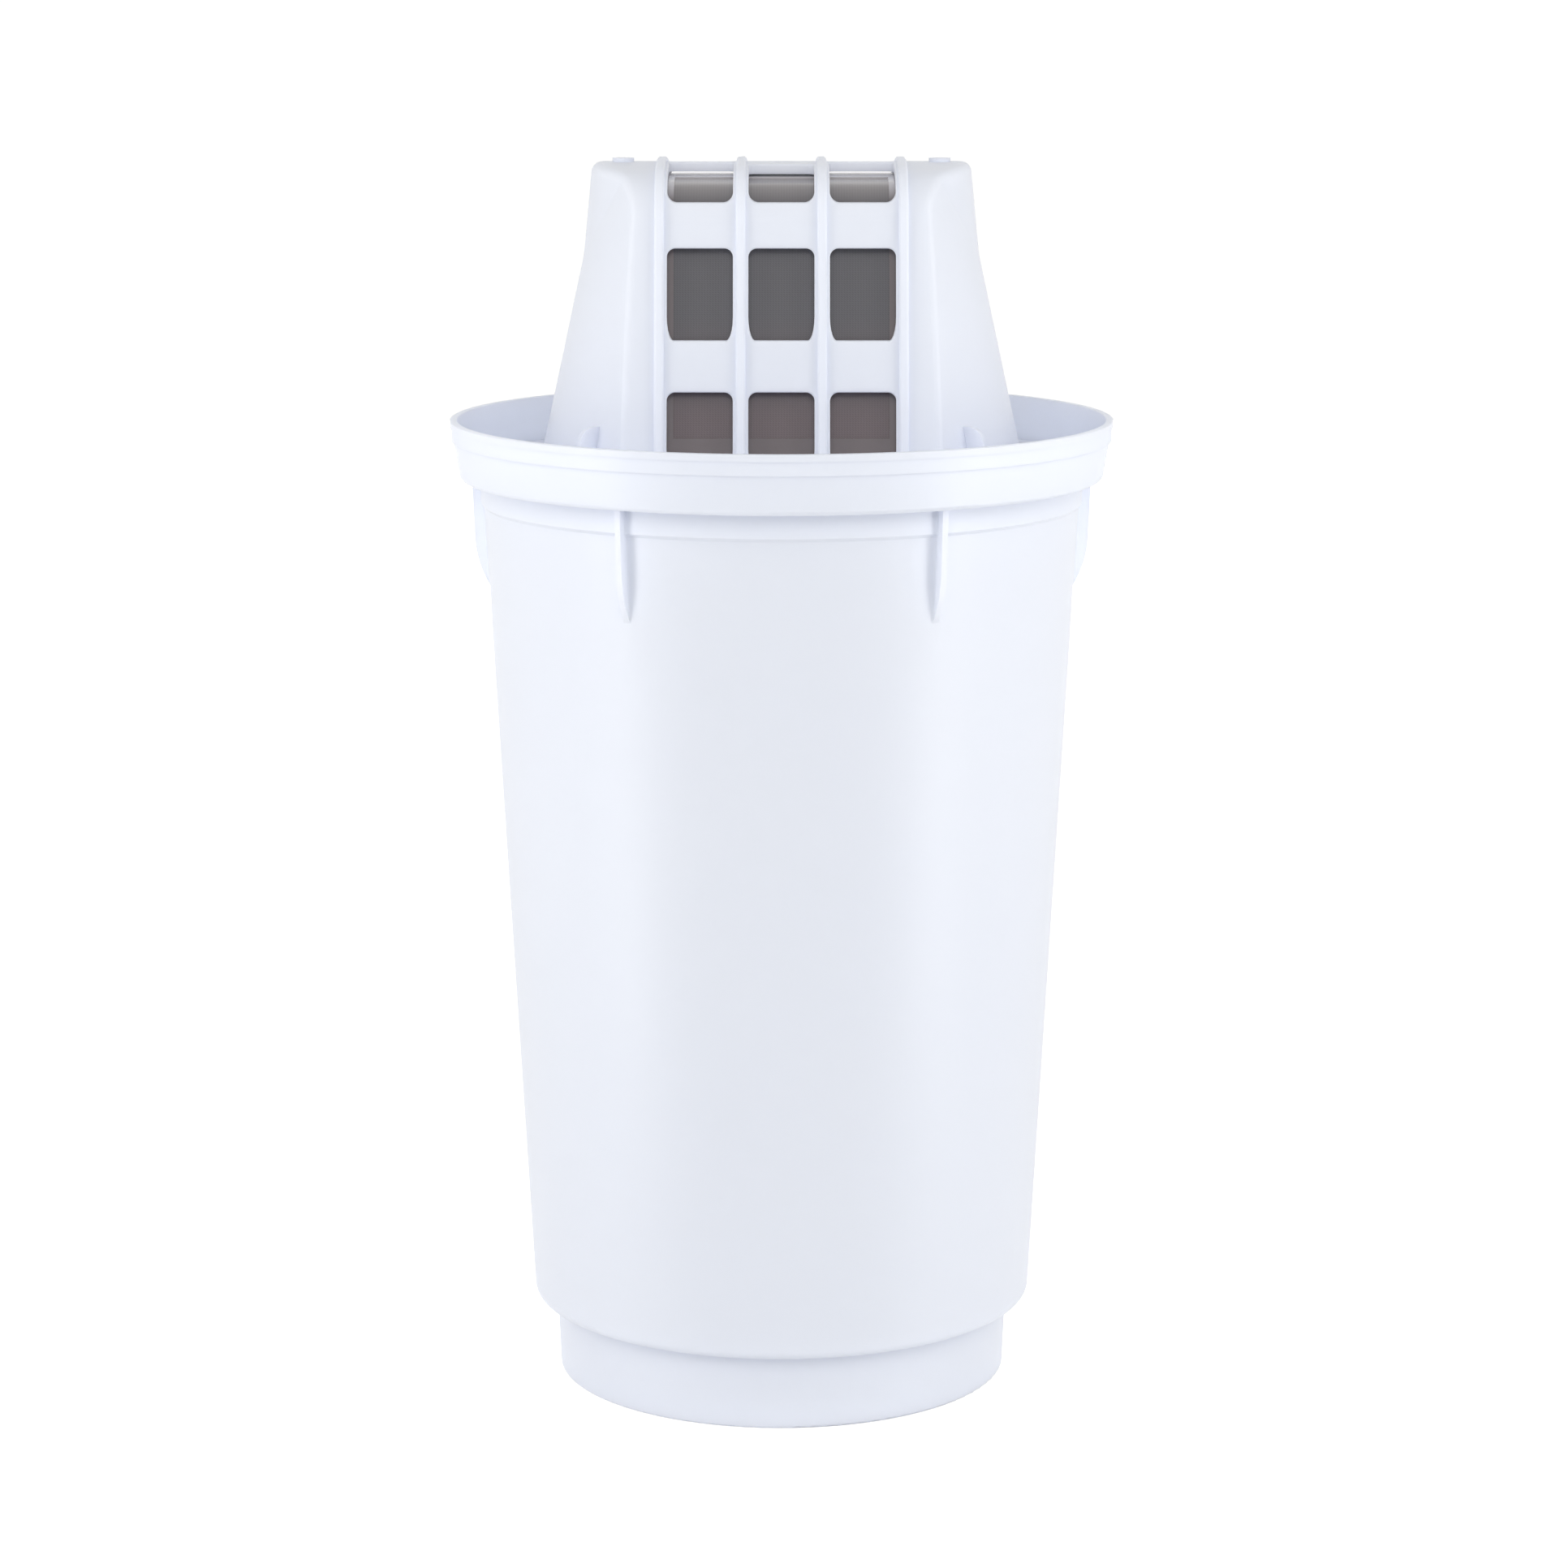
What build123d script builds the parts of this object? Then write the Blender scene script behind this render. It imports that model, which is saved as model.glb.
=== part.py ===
from build123d import *
import os
from math import cos, hypot, radians, tan

# Water pitcher filter cartridge: a tapered cup with a flared collar, a windowed
# inlet dome seated in that collar, and the screens, felts and filter bed inside.
#
# Millimetres, +Z up. The origin is the centre of the ring the cartridge stands on.
# The windows of the dome face -Y and +Y.

# Spigot at the foot of the cup
spigot_height = 9.4
spigot_taper = 0.4
step_width = 2.65
step_rounding = 1.2
foot_rounding = 0.35

# Tapered body and neck of the cup
body_foot_radius = 30.7
body_top_radius = 35.95
body_height = 98.6
neck_ledge = 0.4
neck_height = 3.3
cup_wall = 1.2

# Collar that carries the cartridge in the pitcher
collar_overhang = 2.45
collar_foot_rounding = 0.6
collar_flare = 0.8
collar_taper_height = 4.65
collar_wall = 1.15
lip_step = 0.25
lip_height = 1.6
bead_step = 0.15
bead_height = 0.85
rim_wall = 0.9
rim_rounding = 0.15
ledge_thickness = 1.0

# Fins under the collar
fin_count = 6
fin_thickness = 0.75
fin_reach = 1.15
fin_draft = 0.3
fin_straight_height = 7.4
fin_tail_height = 6.9
fin_root_fillet = 0.25

# Outlet in the floor of the spigot
floor_recess = 1.5
floor_thickness = 1.3
outlet_slot_count = 12
outlet_slot_width = 2.6
outlet_slot_inner_radius = 8.0
outlet_slot_outer_radius = 21.5
outlet_hub_radius = 3.2
outlet_hub_drop = 0.5

# Inlet dome: a cone and a longer loaf above it, both cut to one arch
dome_wall = 1.13
dome_height = 36.7
dome_foot_radius = 29.35
dome_cone_draft = 12.38
loaf_end_radius = 16.6
loaf_end_offset = 6.0
loaf_draft = 5.7
loaf_depth = 25.0
arch_foot_half = 22.8
arch_shoulder_half = 13.3
arch_crown_rise = 1.4
arch_shoulder_radius = 7.0
dome_edge_rounding = 1.2

# Flange and skirt that seat the dome in the collar
flange_thickness = 0.9
flange_clearance = 0.2
skirt_grip = 1.2
skirt_wall = 1.2
skirt_clearance = 0.15
dome_foot_fillet = 0.6

# Ribs of the dome, one each side of every window
window_pitch = 9.5
rib_width = 1.15
rib_height = 0.55
rib_bevel = 0.22

# Windows of the dome: three columns and three rows on each face
window_columns = 3
window_width = 7.7
window_corner = 1.0
window_bevel = 0.15
window_foot_width = 0.8
window_foot_height = 2.7
lower_window_sill = 1.8
lower_window_height = 9.25
middle_window_sill = 16.9
middle_window_height = 10.5
ridge_window_sill = 32.6
ridge_window_corner = 1.2
ridge_jamb_corner = 0.8
centre_jamb = 4.2
outer_jamb = 1.0

# Small features on the dome
stud_offset = 18.9
stud_radius = 1.3
stud_height = 0.45
gate_radius = 1.7
gate_depth = 0.3
gusset_angle = 50.3
gusset_thickness = 0.6
gusset_reach = 1.45
gusset_height = 6.0
gusset_rounding = 2.2

# Screen frame and meshes behind the windows
screen_gap = 0.25
frame_wall = 1.1
frame_half_width = 15.2
base_ring_thickness = 1.2
base_ring_clearance = 0.25
mesh_half_width = 12.6
mesh_sill = 5.7
mesh_head = 5.0
mesh_thickness = 0.5
mesh_setback = 0.15

# Felt pads, outlet mesh and filter bed
upper_felt_thickness = 2.8
lower_felt_thickness = 2.5
outlet_mesh_thickness = 0.45
felt_clearance = 0.25
bed_clearance = 0.3

# Heights of the cup, measured from the ring it stands on
floor_top = floor_recess + floor_thickness
step_top = spigot_height + cup_wall
body_top = spigot_height + body_height
collar_foot = body_top + neck_height
lip_foot = collar_foot + collar_taper_height
bead_foot = lip_foot + lip_height
rim_top = bead_foot + bead_height
seat = collar_foot + ledge_thickness

# Radii of the cup
spigot_top_radius = body_foot_radius - step_width
spigot_foot_radius = spigot_top_radius - spigot_taper
neck_radius = body_top_radius + neck_ledge
collar_foot_radius = neck_radius + collar_overhang
collar_top_radius = collar_foot_radius + collar_flare
lip_radius = collar_top_radius + lip_step
rim_radius = lip_radius + bead_step
collar_bore_foot = collar_foot_radius - collar_wall
collar_bore_top = rim_radius - rim_wall


def spigot_bore(height):
    """Inner radius of the spigot at a height."""
    return spigot_foot_radius + spigot_taper * height / spigot_height - cup_wall


def body_surface(height):
    """Outer radius of the tapered body at a height."""
    taper = (body_top_radius - body_foot_radius) / body_height
    return body_foot_radius + taper * (height - spigot_height)


def cup_bore(height):
    """Inner radius of the body and neck at a height."""
    return body_surface(height) - cup_wall


# Heights of the pieces inside, each from what it rests on
ridge = seat + dome_height
flange_top = seat + flange_thickness
base_ring_foot = seat - base_ring_thickness
bed_top = base_ring_foot - upper_felt_thickness
skirt_foot = bed_top - skirt_grip
lower_felt_foot = floor_top + outlet_mesh_thickness
bed_foot = lower_felt_foot + lower_felt_thickness

# Radii of the pieces inside, each from the bore it fits
flange_radius = collar_bore_foot - flange_clearance
skirt_radius = cup_bore(skirt_foot) - skirt_clearance
skirt_bore = skirt_radius - skirt_wall
base_ring_radius = skirt_bore - base_ring_clearance
upper_felt_radius = skirt_bore - felt_clearance

# Arch of the dome, carried below its seat so that every piece is trimmed there
arch_lean = (arch_foot_half - arch_shoulder_half) / (dome_height - arch_crown_rise)
arch_tail = 6.0
arch_tail_half = arch_foot_half + arch_tail * arch_lean
arch_shoulder = ridge - arch_crown_rise
frame_inset = dome_wall + screen_gap
mesh_inset = frame_inset + mesh_setback


def arch_profile(inset):
    """Outline of the dome seen along X, moved inwards by inset."""
    left_shoulder = (-arch_shoulder_half, arch_shoulder)
    right_shoulder = (arch_shoulder_half, arch_shoulder)
    left_foot = (-arch_tail_half, seat - arch_tail)
    right_foot = (arch_tail_half, seat - arch_tail)
    with BuildSketch(Plane.YZ) as profile:
        with BuildLine():
            Polyline(left_shoulder, left_foot, right_foot, right_shoulder)
            ThreePointArc(left_shoulder, (0, ridge), right_shoulder)
        make_face()
        fillet(profile.vertices().group_by(Axis.Y)[-1], radius=arch_shoulder_radius)
        if inset:
            offset(amount=-inset)
    return profile.sketch


def dome_form(inset, rounding):
    """Closed form of the dome, with every face moved inwards by inset."""
    arch = extrude(arch_profile(inset), amount=2 * dome_foot_radius, both=True)
    cone_tail_radius = dome_foot_radius + arch_tail * tan(radians(dome_cone_draft))
    loaf_foot_radius = loaf_end_radius + loaf_depth * tan(radians(loaf_draft))
    with BuildPart() as cone:
        with BuildSketch(Plane.XY.offset(seat - arch_tail)):
            Circle(cone_tail_radius - inset / cos(radians(dome_cone_draft)))
        extrude(amount=arch_tail + dome_height, taper=dome_cone_draft)
        add(arch, mode=Mode.INTERSECT)
        if rounding:
            side_edges = cone.faces().filter_by(GeomType.CONE).edges()
            fillet(side_edges.sort_by(Axis.Z)[2:], rounding)
    with BuildPart() as loaf:
        with BuildSketch(Plane.XY.offset(ridge - loaf_depth)):
            end_radius = loaf_foot_radius - inset / cos(radians(loaf_draft))
            SlotCenterToCenter(2 * loaf_end_offset, 2 * end_radius)
        extrude(amount=loaf_depth, taper=loaf_draft)
        add(arch, mode=Mode.INTERSECT)
        if rounding:
            side_edges = loaf.faces().filter_by(GeomType.CONE).edges()
            fillet(side_edges.sort_by(Axis.Z)[2:], rounding)
    return cone.part + loaf.part


def is_fin_root(edge):
    """True for an edge where the side of a fin meets the neck or the body."""
    middle = edge.center()
    reach = hypot(middle.X, middle.Y)
    inside = reach < neck_radius + fin_thickness / 2 and middle.Z < collar_foot
    return inside and edge.geom_type != GeomType.CIRCLE


def is_panel(face):
    """True for an outer face of the dome between two ribs."""
    leans_back = face.geom_type == GeomType.PLANE and abs(face.normal_at().Y) > face.normal_at().Z > 0
    return leans_back and abs(face.center().X) < window_columns * window_pitch / 2


def window(sill, height):
    """Window with round top corners and long elliptical bottom corners."""
    half = window_width / 2
    head = sill + height
    foot_side = half - window_foot_width
    foot_top = sill + window_foot_height
    with BuildSketch() as opening:
        with BuildLine():
            Line((0, sill), (foot_side, sill))
            EllipticalCenterArc((foot_side, foot_top), window_foot_width, window_foot_height, 270)
            Line((half, foot_top), (half, head - window_corner))
            CenterArc((half - window_corner, head - window_corner), window_corner, 0, 90)
            Line((half - window_corner, head), (0, head))
            mirror(about=Plane.YZ)
        make_face()
    return opening.sketch


def ridge_window(jamb):
    """Cutter for the windows that wrap over the shoulders, front and rear."""
    sill = seat + ridge_window_sill
    head = ridge + 2 * ridge_window_corner
    reach = 2 * arch_foot_half - jamb
    with BuildPart() as cutter:
        with BuildSketch(Plane.XZ):
            with Locations((0, (sill + head) / 2)):
                RectangleRounded(window_width, head - sill, ridge_window_corner)
        extrude(amount=arch_foot_half, both=True)
        with BuildSketch(Plane.XY.offset(seat)):
            with Locations((0, jamb + reach / 2), (0, -jamb - reach / 2)):
                RectangleRounded(window_width, reach, ridge_jamb_corner)
        extrude(amount=2 * dome_height, mode=Mode.INTERSECT)
    return cutter.part


os.makedirs("parts", exist_ok=True)

# Housing: spigot, tapered body, neck, collar and fins in one moulding
with BuildPart() as housing:
    with BuildSketch(Plane.XZ) as cup_section:
        with BuildLine():
            corners = {
                (0, floor_recess): 0,
                (spigot_bore(0), floor_recess): 0,
                (spigot_bore(0), 0): 0,
                (spigot_foot_radius, 0): foot_rounding,
                (spigot_top_radius, spigot_height): 0,
                (body_foot_radius, spigot_height): step_rounding,
                (body_top_radius, body_top): 0,
                (neck_radius, body_top + neck_ledge): 0,
                (neck_radius, collar_foot): 0,
                (collar_foot_radius, collar_foot): collar_foot_rounding,
                (collar_top_radius, lip_foot): 0,
                (lip_radius, lip_foot): 0,
                (lip_radius, bead_foot): 0,
                (rim_radius, bead_foot): 0,
                (rim_radius, rim_top): rim_rounding,
                (collar_bore_top, rim_top): rim_rounding,
                (collar_bore_foot, seat): 0,
                (cup_bore(seat), seat): 0,
                (cup_bore(step_top), step_top): 0,
                (spigot_bore(step_top), step_top): 0,
                (spigot_bore(floor_top), floor_top): 0,
                (0, floor_top): 0,
            }
            FilletPolyline(*corners.keys(), radius=corners.values(), close=True)
        make_face()
    revolve(axis=Axis.Z)
    fin_radius = neck_radius + fin_reach
    fin_knee = collar_foot - fin_straight_height
    fin_tip = fin_knee - fin_tail_height
    with BuildSketch(Plane.XZ) as fin_section:
        with BuildLine():
            root_top = (neck_radius - cup_wall / 2, collar_foot)
            root_tip = (body_surface(fin_tip) - cup_wall / 2, fin_tip)
            edge_top = (fin_radius, collar_foot)
            edge_knee = (fin_radius - fin_draft, fin_knee)
            Polyline(root_tip, root_top, edge_top, edge_knee)
            TangentArc(edge_knee, root_tip, tangent=(-fin_draft, -fin_straight_height))
        make_face()
    fin = extrude(amount=fin_thickness / 2, both=True, mode=Mode.PRIVATE)
    with PolarLocations(0, fin_count):
        add(fin)
    fin_sides = housing.faces().filter_by(GeomType.PLANE).filter_by(Axis.Z, reverse=True)
    fillet(fin_sides.edges().filter_by(is_fin_root), fin_root_fillet)
    with BuildSketch(Plane.XY.offset(floor_recess)):
        Circle(outlet_hub_radius)
    extrude(amount=-outlet_hub_drop)
    with BuildSketch(Plane.XY):
        slot_length = outlet_slot_outer_radius - outlet_slot_inner_radius
        with PolarLocations(outlet_slot_inner_radius + slot_length / 2, outlet_slot_count):
            SlotOverall(slot_length, outlet_slot_width)
    extrude(amount=floor_top, mode=Mode.SUBTRACT)

# Rib that runs up the front of the dome, over its ridge and down the rear
rib_arch = arch_profile(-rib_height)
with BuildPart() as rib:
    extrude(rib_arch, amount=rib_width / 2, both=True)
    rib_outline = rib.edges().filter_by(Axis.X, reverse=True).sort_by(Axis.Z)[2:]
    chamfer(rib_outline, rib_bevel)

# Gusset that stiffens the foot of the dome
with BuildPart() as gusset:
    with BuildSketch(Plane.XZ):
        with BuildLine():
            gusset_radius = dome_foot_radius + gusset_reach
            gusset_top = flange_top + gusset_height
            root_foot = dome_foot_radius - dome_wall / 2
            root_head = root_foot - (gusset_top - seat) * tan(radians(dome_cone_draft))
            FilletPolyline(
                (root_foot, seat),
                (gusset_radius, seat),
                (gusset_radius, gusset_top),
                (root_head, gusset_top),
                radius=(0, 0, gusset_rounding, 0),
                close=True,
            )
        make_face()
    extrude(amount=gusset_thickness / 2, both=True)

# Inlet dome: ribbed and windowed cover with the flange and skirt that seat it
dome_outside = dome_form(0, dome_edge_rounding)
dome_inside = dome_form(dome_wall, 0)
lower_window = window(seat + lower_window_sill, lower_window_height)
middle_window = window(seat + middle_window_sill, middle_window_height)
centre_ridge_window = ridge_window(centre_jamb)
outer_ridge_window = ridge_window(outer_jamb)
with BuildPart() as inlet_dome:
    add(dome_outside)
    split(bisect_by=Plane.XY.offset(seat))
    with BuildSketch(Plane.XY.offset(seat)):
        Circle(flange_radius)
    extrude(amount=flange_thickness)
    flange_face = inlet_dome.faces().filter_by(Axis.Z).filter_by_position(
        Axis.Z, flange_top - flange_thickness / 2, flange_top + flange_thickness / 2
    )[0]
    fillet(flange_face.inner_wires()[0].edges(), dome_foot_fillet)
    with GridLocations(window_pitch, 0, window_columns + 1, 1):
        add(rib.part)
    for angle in (gusset_angle, -gusset_angle, 180 - gusset_angle, 180 + gusset_angle):
        with Locations(Location((0, 0, 0), (0, 0, 90 + angle))):
            add(gusset.part)
    with BuildSketch(Plane.XY.offset(ridge - dome_wall / 2)):
        with Locations((-stud_offset, 0), (stud_offset, 0)):
            Circle(stud_radius)
    extrude(amount=dome_wall / 2 + stud_height)
    gate_sphere = (gate_radius**2 + gate_depth**2) / (2 * gate_depth)
    with Locations((0, 0, ridge - gate_depth + gate_sphere)):
        Sphere(gate_sphere, mode=Mode.SUBTRACT)
    split(bisect_by=Plane.XY.offset(seat))
    add(dome_inside, mode=Mode.SUBTRACT)
    with BuildSketch(Plane.XY.offset(skirt_foot)):
        Circle(skirt_radius)
        Circle(skirt_bore, mode=Mode.SUBTRACT)
    extrude(amount=seat - skirt_foot)
    with BuildSketch(Plane.XZ):
        with GridLocations(window_pitch, 0, window_columns, 1):
            add(lower_window)
            add(middle_window)
    extrude(amount=arch_foot_half * 2, both=True, mode=Mode.SUBTRACT)
    centre_column = (window_columns - 1) / 2
    for column in range(window_columns):
        cutter = centre_ridge_window if column == centre_column else outer_ridge_window
        with Locations(((column - centre_column) * window_pitch, 0, 0)):
            add(cutter, mode=Mode.SUBTRACT)
    ridge_sill = seat + ridge_window_sill
    sill_edges = inlet_dome.edges().filter_by(Axis.X).filter_by_position(
        Axis.Z, ridge_sill - window_bevel, ridge_sill + window_bevel
    )
    chamfer(sill_edges.group_by(lambda edge: abs(edge.center().Y))[-1], window_bevel)
    window_rims = ShapeList()
    for panel in inlet_dome.faces().filter_by(is_panel):
        for rim in panel.inner_wires():
            window_rims += rim.edges()
    chamfer(window_rims, window_bevel)

# Screen frame: hollow arch on a base ring, open where the meshes sit
frame_outside = arch_profile(frame_inset)
frame_inside = arch_profile(frame_inset + frame_wall)
with BuildPart() as inlet_screen_frame:
    with BuildSketch(Plane.XY.offset(base_ring_foot)):
        Circle(base_ring_radius)
    extrude(amount=base_ring_thickness)
    extrude(frame_outside, amount=frame_half_width, both=True)
    frame_core = frame_half_width - frame_wall
    extrude(frame_inside, amount=frame_core, both=True, mode=Mode.SUBTRACT)
    split(bisect_by=Plane.XY.offset(base_ring_foot))
    mesh_depth = arch_foot_half - mesh_head
    mesh_height = dome_height - mesh_sill
    with BuildSketch(Plane.YZ):
        with Locations(
            (mesh_head + mesh_depth / 2, seat + mesh_sill + mesh_height / 2),
            (-mesh_head - mesh_depth / 2, seat + mesh_sill + mesh_height / 2),
        ):
            Rectangle(mesh_depth, mesh_height)
    extrude(amount=mesh_half_width, both=True, mode=Mode.SUBTRACT)

# Front mesh, bent over the shoulder of the arch, in the opening of the frame
mesh_outside = arch_profile(mesh_inset)
mesh_inside = arch_profile(mesh_inset + mesh_thickness)
with BuildPart() as inlet_mesh_front:
    extrude(mesh_outside, amount=mesh_half_width, both=True)
    extrude(mesh_inside, amount=mesh_half_width, both=True, mode=Mode.SUBTRACT)
    split(bisect_by=Plane.XY.offset(seat + mesh_sill))
    split(bisect_by=Plane.XZ.offset(mesh_head))

# Rear mesh, the same as the front one
with BuildPart() as inlet_mesh_rear:
    mirror(inlet_mesh_front.part, about=Plane.XZ)

# Upper felt pad between the screen frame and the filter bed
with BuildPart() as upper_felt_pad:
    with BuildSketch(Plane.XY.offset(bed_top)):
        Circle(upper_felt_radius)
    extrude(amount=upper_felt_thickness)

# Filter bed: granules that fill the cup from the lower felt to the upper felt
with BuildPart() as filter_bed:
    with BuildSketch(Plane.XZ):
        with BuildLine():
            step_height = step_top + bed_clearance
            skirt_height = skirt_foot - bed_clearance
            Polyline(
                (0, bed_foot),
                (spigot_bore(bed_foot) - bed_clearance, bed_foot),
                (spigot_bore(step_height) - bed_clearance, step_height),
                (cup_bore(step_height) - bed_clearance, step_height),
                (cup_bore(skirt_height) - bed_clearance, skirt_height),
                (skirt_bore - bed_clearance, skirt_height),
                (skirt_bore - bed_clearance, bed_top),
                (0, bed_top),
                close=True,
            )
        make_face()
    revolve(axis=Axis.Z)

# Lower felt pad on the outlet mesh
with BuildPart() as lower_felt_pad:
    with BuildSketch(Plane.XY.offset(lower_felt_foot)):
        Circle(spigot_bore(lower_felt_foot) - felt_clearance)
    extrude(amount=lower_felt_thickness)

# Outlet mesh: disc on the floor of the spigot
with BuildPart() as outlet_mesh:
    with BuildSketch(Plane.XY.offset(floor_top)):
        Circle(spigot_bore(floor_top) - felt_clearance)
    extrude(amount=outlet_mesh_thickness)

housing.part.label = "housing"
inlet_dome.part.label = "inlet_dome"
inlet_screen_frame.part.label = "inlet_screen_frame"
inlet_mesh_front.part.label = "inlet_mesh_front"
inlet_mesh_rear.part.label = "inlet_mesh_rear"
upper_felt_pad.part.label = "upper_felt_pad"
filter_bed.part.label = "filter_bed"
lower_felt_pad.part.label = "lower_felt_pad"
outlet_mesh.part.label = "outlet_mesh"

export_step(housing.part, "parts/housing.step")
export_step(inlet_dome.part, "parts/inlet_dome.step")
export_step(inlet_screen_frame.part, "parts/inlet_screen_frame.step")
export_step(inlet_mesh_front.part, "parts/inlet_mesh_front.step")
export_step(inlet_mesh_rear.part, "parts/inlet_mesh_rear.step")
export_step(upper_felt_pad.part, "parts/upper_felt_pad.step")
export_step(filter_bed.part, "parts/filter_bed.step")
export_step(lower_felt_pad.part, "parts/lower_felt_pad.step")
export_step(outlet_mesh.part, "parts/outlet_mesh.step")
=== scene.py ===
# Water pitcher filter cartridge: the finishes of its pieces, the studio and the
# camera. Metres, +Z up, the windows of the dome face -Y and +Y.

from math import cos, pi, radians, sin

import bmesh
import bpy
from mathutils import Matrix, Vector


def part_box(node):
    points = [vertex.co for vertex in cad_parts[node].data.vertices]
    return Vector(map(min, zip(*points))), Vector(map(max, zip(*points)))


MM = 0.001

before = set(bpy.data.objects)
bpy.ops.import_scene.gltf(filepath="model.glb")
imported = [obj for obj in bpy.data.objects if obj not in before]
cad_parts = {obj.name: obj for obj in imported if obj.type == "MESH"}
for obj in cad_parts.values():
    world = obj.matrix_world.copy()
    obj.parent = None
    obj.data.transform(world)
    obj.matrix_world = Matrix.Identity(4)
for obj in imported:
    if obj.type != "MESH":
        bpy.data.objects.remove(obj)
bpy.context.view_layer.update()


# Shader expressions

class Value:
    """A socket that varies over a surface. Arithmetic on it adds Math nodes."""

    def __init__(self, finish, socket):
        self.finish = finish
        self.socket = socket

    def maths(self, operation, *terms):
        return self.finish.add("ShaderNodeMath", {"operation": operation}, dict(enumerate(terms)))

    def __add__(self, other):
        return self.maths("ADD", self, other)

    def __radd__(self, other):
        return self.maths("ADD", other, self)

    def __rsub__(self, other):
        return self.maths("SUBTRACT", other, self)

    def __mul__(self, other):
        return self.maths("MULTIPLY", self, other)

    def __rmul__(self, other):
        return self.maths("MULTIPLY", other, self)

    def __truediv__(self, other):
        return self.maths("DIVIDE", self, other)

    def __abs__(self):
        return self.maths("ABSOLUTE", self)

    def wave(self):
        """Sine of the value."""
        return self.maths("SINE", self)

    def at_least(self, other):
        return self.maths("MAXIMUM", self, other)


class Finish:
    """The node tree of one material or of the world."""

    def __init__(self, owner):
        self.owner = owner
        owner.use_nodes = True
        self.tree = owner.node_tree
        self.tree.nodes.clear()

    def add(self, kind, settings=None, inputs=None, output=0):
        """Adds a node: its settings first, then the values or links of its inputs."""
        node = self.tree.nodes.new(kind)
        for name, value in (settings or {}).items():
            setattr(node, name, value)
        for name, value in (inputs or {}).items():
            if isinstance(value, Value):
                self.tree.links.new(value.socket, node.inputs[name])
            else:
                node.inputs[name].default_value = value
        return Value(self, node.outputs[output]) if node.outputs else node

    def place(self, stretch=(1.0, 1.0, 1.0)):
        """Object coordinates in metres, stretched along the axes."""
        where = self.add("ShaderNodeTexCoord", output="Object")
        return self.add("ShaderNodeMapping", inputs={"Vector": where, "Scale": stretch})

    def axes(self, vector):
        """The X, Y and Z of a vector."""
        split = self.add("ShaderNodeSeparateXYZ", inputs={"Vector": vector}).socket.node
        return [Value(self, socket) for socket in split.outputs]

    def noise(self, per_metre, detail=2.0, stretch=(1.0, 1.0, 1.0)):
        """Cloudy noise from 0 to 1, with so many features to the metre."""
        return self.add("ShaderNodeTexNoise", inputs={
            "Vector": self.place(stretch), "Scale": per_metre, "Detail": detail})

    def rise(self, level, start, end):
        """A level that goes from 0 at a start to 1 at an end."""
        return self.add("ShaderNodeMapRange", {"clamp": True}, {
            "Value": level, "From Min": start, "From Max": end})

    def shown_directly(self):
        """1 for what the camera sees, itself or in gloss or glass, and 0 for what lights."""
        rays = self.add("ShaderNodeLightPath").socket.node
        seen = Value(self, rays.outputs["Is Camera Ray"])
        for name in ("Is Glossy Ray", "Is Transmission Ray"):
            seen = seen.at_least(Value(self, rays.outputs[name]))
        return seen

    def blend(self, factor, first, second):
        """A colour between two colours."""
        return self.add("ShaderNodeMix", {"data_type": "RGBA"}, {
            "Factor": factor, 6: first, 7: second}, output=2)

    def bump(self, height, depth, normal=None):
        """A normal from a height of 0 to 1 that stands for so many metres."""
        inputs = {"Height": height, "Distance": depth, "Strength": 1.0}
        if normal:
            inputs["Normal"] = normal
        return self.add("ShaderNodeBump", inputs=inputs)

    def surface(self, **inputs):
        """Closes the tree with one Principled shader."""
        named = {name.replace("_", " "): value for name, value in inputs.items()}
        shader = self.add("ShaderNodeBsdfPrincipled", inputs=named)
        self.add("ShaderNodeOutputMaterial", inputs={"Surface": shader})
        return self.owner


def new_finish(name):
    return Finish(bpy.data.materials.new(name))


def colour(red, green, blue):
    return (red, green, blue, 1.0)


# Finishes

FLOW_DEPTH = 0.012 * MM
GRAIN_DEPTH = 0.0022 * MM
GLOW_DEPTH = 2.0 * MM
FRAME_GRAIN_DEPTH = 0.0008 * MM
INLET_PITCH = 0.32 * MM
INLET_DEPTH = 0.006 * MM
OUTLET_PITCH = 0.5 * MM
OUTLET_DEPTH = 0.06 * MM
FELT_DEPTH = 0.2 * MM
GRANULE_DEPTH = 0.5 * MM
GRANULES_PER_METRE = 1100.0
BEAD_SHARE = 0.38
BEAD_SOFTNESS = 0.02
SCREEN_FOOT, SCREEN_TOP = (corner[2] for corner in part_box("inlet_mesh_front"))
FRAME_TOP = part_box("inlet_screen_frame")[1][2]
BROWN_HEIGHTS = (SCREEN_FOOT + 2.0 * MM, SCREEN_FOOT + 14.0 * MM)
# Heights over which the inlet screen goes over to painted light at its top.
PAINTED_LIGHT_SCREEN_HEIGHTS = (SCREEN_TOP - 2.87 * MM, SCREEN_TOP - 0.07 * MM)
# Heights over which the frame goes over to painted light at its top.
PAINTED_LIGHT_FRAME_HEIGHTS = (FRAME_TOP - 2.62 * MM, FRAME_TOP - 0.82 * MM)


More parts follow.
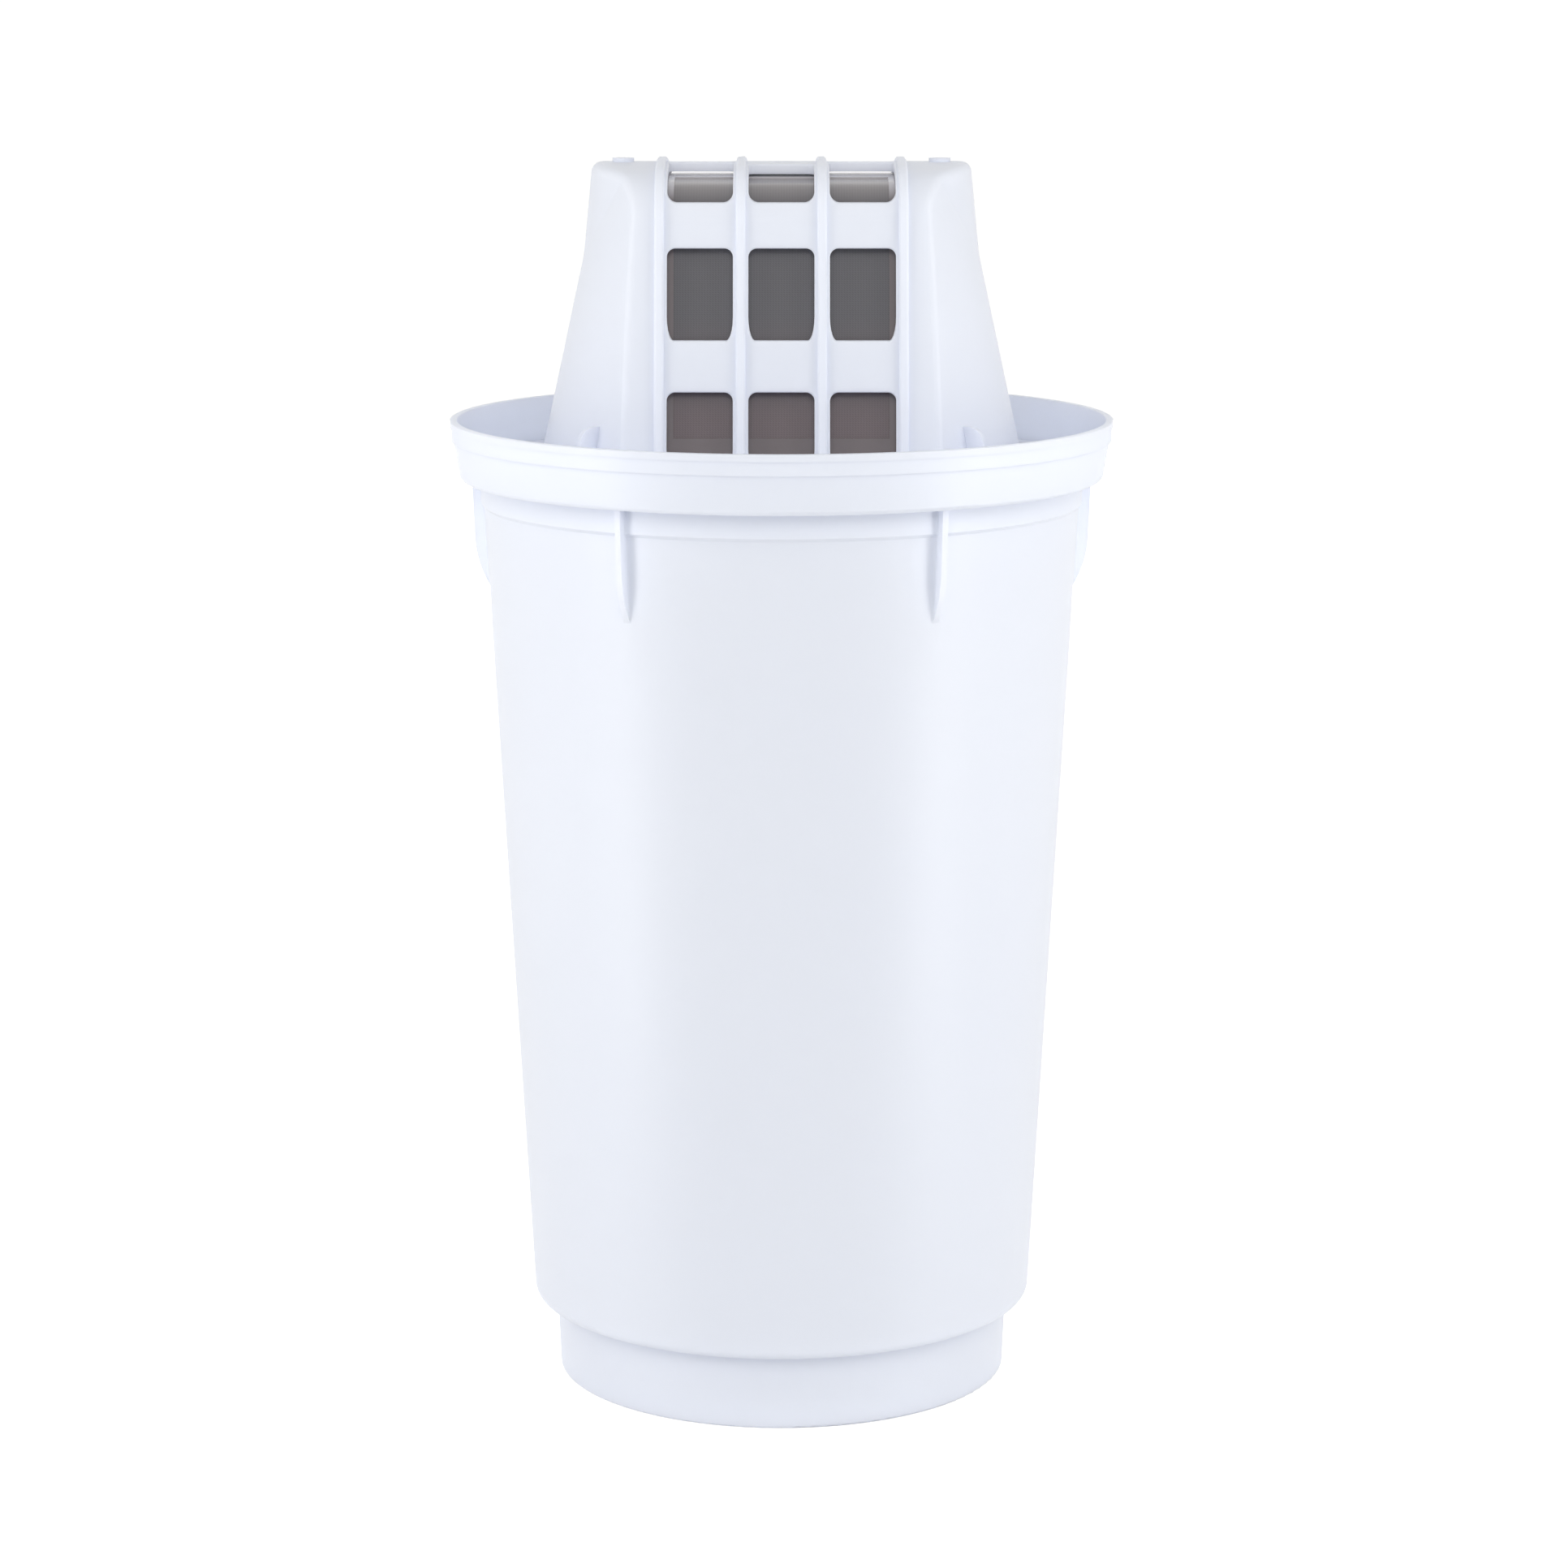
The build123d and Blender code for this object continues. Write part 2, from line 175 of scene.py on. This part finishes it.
def moulded_white():
    """Cool white plastic that light sinks into, with faint flow marks and a fine grain."""
    plastic = new_finish("moulded_white")
    cloud = plastic.noise(28.0, 3.0)
    flow = plastic.noise(160.0, 3.0, (1.0, 1.0, 0.06))
    grain = plastic.noise(2600.0, 2.0)
    tint = plastic.blend(cloud, colour(0.822, 0.858, 0.986), colour(0.844, 0.880, 0.997))
    normal = plastic.bump(grain, GRAIN_DEPTH, plastic.bump(flow, FLOW_DEPTH))
    return plastic.surface(
        Base_Color=tint,
        Roughness=0.30 + 0.08 * flow + 0.06 * cloud,
        Normal=normal,
        IOR=1.48,
        Subsurface_Weight=0.55,
        Subsurface_Radius=(1.0, 1.0, 1.0),
        Subsurface_Scale=GLOW_DEPTH,
        Specular_IOR_Level=0.35,
    )


def moulded_frame():
    """Warm grey plastic of the screen frame, with painted light at the top that makes it paler,
    standing for light coming through.
    """
    plastic = new_finish("moulded_frame")
    height = plastic.axes(plastic.place())[2]
    cloud = plastic.noise(60.0, 3.0)
    grain = plastic.noise(3200.0, 2.0)
    # Painted light: the frame colour goes over to a pale tint towards its top.
    painted_light_share = plastic.rise(height, *PAINTED_LIGHT_FRAME_HEIGHTS)
    grey = plastic.blend(cloud, colour(0.132, 0.112, 0.114), colour(0.162, 0.138, 0.141))
    painted_light_colour = plastic.blend(cloud, colour(0.52, 0.50, 0.52), colour(0.60, 0.58, 0.60))
    return plastic.surface(
        Base_Color=plastic.blend(painted_light_share, grey, painted_light_colour),
        Roughness=0.12 + 0.06 * cloud,
        Normal=plastic.bump(grain, FRAME_GRAIN_DEPTH),
    )


def woven(pitch, across, along):
    """Height from 0 to 1 of a plain weave with its threads along two axes."""
    turns = 2 * pi / pitch
    over = (across * turns).wave() * (along * turns).wave()
    threads = abs((across * (turns / 2)).wave()).at_least(abs((along * (turns / 2)).wave()))
    return 0.25 + 0.2 * over + 0.5 * threads


def woven_inlet_screen():
    """Dark fine screen: brown low down, and painted light at the top that makes it pale, standing
    for light coming in.
    """
    screen = new_finish("woven_inlet_screen")
    x, y, z = screen.axes(screen.place())
    weave = woven(INLET_PITCH, x, z + y)
    cloud = screen.noise(40.0, 1.0)
    depth = 0.9 * weave + 0.1 * cloud
    upper = screen.rise(z, *BROWN_HEIGHTS)
    # Painted light: the screen colour goes over to a pale tint towards its top.
    painted_light_share = screen.rise(z, *PAINTED_LIGHT_SCREEN_HEIGHTS)
    grey = screen.blend(depth, colour(0.068, 0.066, 0.072), colour(0.120, 0.116, 0.126))
    brown = screen.blend(depth, colour(0.092, 0.072, 0.076), colour(0.154, 0.122, 0.128))
    painted_light_colour = screen.blend(depth, colour(0.22, 0.20, 0.20), colour(0.32, 0.30, 0.30))
    return screen.surface(
        Base_Color=screen.blend(painted_light_share, screen.blend(upper, brown, grey), painted_light_colour),
        Roughness=0.18 + 0.04 * cloud,
        Normal=screen.bump(weave, INLET_DEPTH),
    )


def woven_outlet_screen():
    """Pale screen disc on the outlet."""
    screen = new_finish("woven_outlet_screen")
    x, y, _ = screen.axes(screen.place())
    weave = woven(OUTLET_PITCH, x, y)
    cloud = screen.noise(90.0, 3.0)
    return screen.surface(
        Base_Color=screen.blend(weave, colour(0.42, 0.43, 0.45), colour(0.78, 0.79, 0.80)),
        Roughness=0.6 + 0.1 * cloud,
        Normal=screen.bump(weave, OUTLET_DEPTH),
    )


def needled_felt():
    """White needled felt: short fibres at all angles."""
    felt = new_finish("needled_felt")
    lengthwise = felt.noise(900.0, 4.0, (1.0, 0.12, 1.0))
    crosswise = felt.noise(900.0, 4.0, (0.12, 1.0, 1.0))
    tuft = felt.noise(240.0, 3.0)
    fibres = (lengthwise + crosswise + tuft) / 3.0
    return felt.surface(
        Base_Color=felt.blend(fibres, colour(0.62, 0.62, 0.60), colour(0.92, 0.92, 0.90)),
        Roughness=0.85 + 0.1 * tuft,
        Normal=felt.bump(fibres, FELT_DEPTH),
        Sheen_Weight=0.3,
        Sheen_Roughness=0.5,
    )


def bed_of_granules():
    """Black carbon granules with amber resin beads among them."""
    bed = new_finish("bed_of_granules")
    cells = bed.add("ShaderNodeTexVoronoi", inputs={
        "Vector": bed.place(), "Scale": GRANULES_PER_METRE}, output="Distance")
    kinds = bed.add("ShaderNodeTexVoronoi", inputs={
        "Vector": bed.place(), "Scale": GRANULES_PER_METRE}, output="Color")
    kind = bed.axes(kinds)[0]
    edge = 1.0 - BEAD_SHARE
    beads = bed.rise(kind, edge - BEAD_SOFTNESS, edge + BEAD_SOFTNESS)
    round_top = 1.0 - cells
    return bed.surface(
        Base_Color=bed.blend(beads, colour(0.022, 0.021, 0.022), colour(0.34, 0.19, 0.07)),
        Roughness=0.75 - 0.35 * beads,
        Normal=bed.bump(round_top, GRANULE_DEPTH),
    )


FINISHES = {
    "housing": moulded_white,
    "inlet_dome": moulded_white,
    "inlet_screen_frame": moulded_frame,
    "inlet_mesh_front": woven_inlet_screen,
    "inlet_mesh_rear": woven_inlet_screen,
    "upper_felt_pad": needled_felt,
    "filter_bed": bed_of_granules,
    "lower_felt_pad": needled_felt,
    "outlet_mesh": woven_outlet_screen,
}


def dress_nodes():
    """Gives every node of the frame its finish."""
    made = {}
    for name, recipe in FINISHES.items():
        if recipe not in made:
            made[recipe] = recipe()
        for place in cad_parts[name].material_slots:
            place.material = made[recipe]


# Studio

WORLD_LEVEL = 0.41
FLOOR_COLOUR = (0.80, 0.80, 0.80)
FLOOR_GLOW = 0.72
FLOOR_SIZE = 30.0
FLOOR_LEVEL = -0.05 * MM
SIDE_LAMP_ANGLE = 60.0
SIDE_LAMP_DISTANCE = 0.18
SIDE_LAMP_HEIGHT = 0.150
SIDE_LAMP_WIDTH = 0.05
SIDE_LAMP_TALL = 0.30
SIDE_LAMP_POWER = 0.162
WIDE_LAMP_DISTANCE = 1.10
WIDE_LAMP_HEIGHT = 0.75
WIDE_LAMP_TILT = 32.0
WIDE_LAMP_SIZE = 0.6
FRONT_LAMP_ANGLE = 15.0
FRONT_LAMP_POWER = 2.28
REAR_LAMP_HEIGHT = 0.10
REAR_LAMP_WIDTH = 0.30
REAR_LAMP_TALL = 0.20
REAR_LAMP_POWER = 7.5


def light_world():
    """Plain white surroundings that light the cartridge at a plain level."""
    world = bpy.data.worlds.new("studio_world")
    bpy.context.scene.world = world
    sky = Finish(world)
    level = WORLD_LEVEL + (1.0 - WORLD_LEVEL) * sky.shown_directly()
    glow = sky.add("ShaderNodeBackground", inputs={
        "Color": colour(1.0, 1.0, 1.0), "Strength": level})
    sky.add("ShaderNodeOutputWorld", inputs={"Surface": glow})


def soft_lamp(name, angle, distance, height, tilt, width, tall, power, glossy=True):
    """Lamp at an angle round the axis from -Y, turned to the axis and tilted down."""
    lamp = bpy.data.lights.new(name, "AREA")
    lamp.shape = "RECTANGLE"
    lamp.size = width
    lamp.size_y = tall
    lamp.energy = power
    holder = bpy.data.objects.new(name, lamp)
    bpy.context.collection.objects.link(holder)
    turn = radians(angle)
    holder.location = (distance * sin(turn), -distance * cos(turn), height)
    holder.rotation_euler = (radians(90.0 - tilt), 0.0, turn)
    holder.visible_camera = False
    holder.visible_glossy = glossy


def light_lamps():
    """Narrow lamps close by on both sides, and wide ones before and behind."""
    for name, side in (("left", -1), ("right", 1)):
        soft_lamp(
            name + "_side_lamp", side * SIDE_LAMP_ANGLE, SIDE_LAMP_DISTANCE, SIDE_LAMP_HEIGHT,
            0.0, SIDE_LAMP_WIDTH, SIDE_LAMP_TALL, SIDE_LAMP_POWER)
        soft_lamp(
            name + "_front_lamp", side * FRONT_LAMP_ANGLE, WIDE_LAMP_DISTANCE, WIDE_LAMP_HEIGHT,
            WIDE_LAMP_TILT, WIDE_LAMP_SIZE, WIDE_LAMP_SIZE, FRONT_LAMP_POWER, glossy=False)
    soft_lamp(
        "rear_lamp", 180.0, WIDE_LAMP_DISTANCE, REAR_LAMP_HEIGHT,
        0.0, REAR_LAMP_WIDTH, REAR_LAMP_TALL, REAR_LAMP_POWER, glossy=False)


def floor_paint():
    """White floor that shows as plain white and keeps the shadow of the cartridge."""
    paint = new_finish("floor_paint")
    matte = paint.add("ShaderNodeBsdfDiffuse", inputs={"Color": colour(*FLOOR_COLOUR)})
    glow = paint.add("ShaderNodeEmission", inputs={
        "Color": colour(1.0, 1.0, 1.0), "Strength": FLOOR_GLOW * paint.shown_directly()})
    both = paint.add("ShaderNodeAddShader", inputs={0: matte, 1: glow})
    paint.add("ShaderNodeOutputMaterial", inputs={"Surface": both})
    return paint.owner


def lay_floor():
    """Plain floor under the cartridge."""
    sheet = bmesh.new()
    bmesh.ops.create_grid(sheet, x_segments=1, y_segments=1, size=FLOOR_SIZE / 2)
    mesh = bpy.data.meshes.new("studio_floor")
    sheet.to_mesh(mesh)
    sheet.free()
    mesh.materials.append(floor_paint())
    floor = bpy.data.objects.new("studio_floor", mesh)
    bpy.context.collection.objects.link(floor)
    floor.location.z = FLOOR_LEVEL


# Camera

CAMERA_PLACE = (0.0003, -0.5312, 0.1749)
CAMERA_TILT = 79.17
CAMERA_LENS = 101.2
CAMERA_SENSOR = 36.0
CAMERA_REACH = 100.0


def set_camera():
    """Camera at the height and angle that show the collar from a little above."""
    camera = bpy.data.cameras.new("camera")
    camera.sensor_width = CAMERA_SENSOR
    camera.lens = CAMERA_LENS
    camera.clip_end = CAMERA_REACH
    holder = bpy.data.objects.new("camera", camera)
    bpy.context.collection.objects.link(holder)
    holder.location = CAMERA_PLACE
    holder.rotation_euler = (radians(CAMERA_TILT), 0.0, 0.0)
    bpy.context.scene.camera = holder


bpy.context.scene.view_settings.view_transform = "Standard"
dress_nodes()
light_world()
light_lamps()
lay_floor()
set_camera()
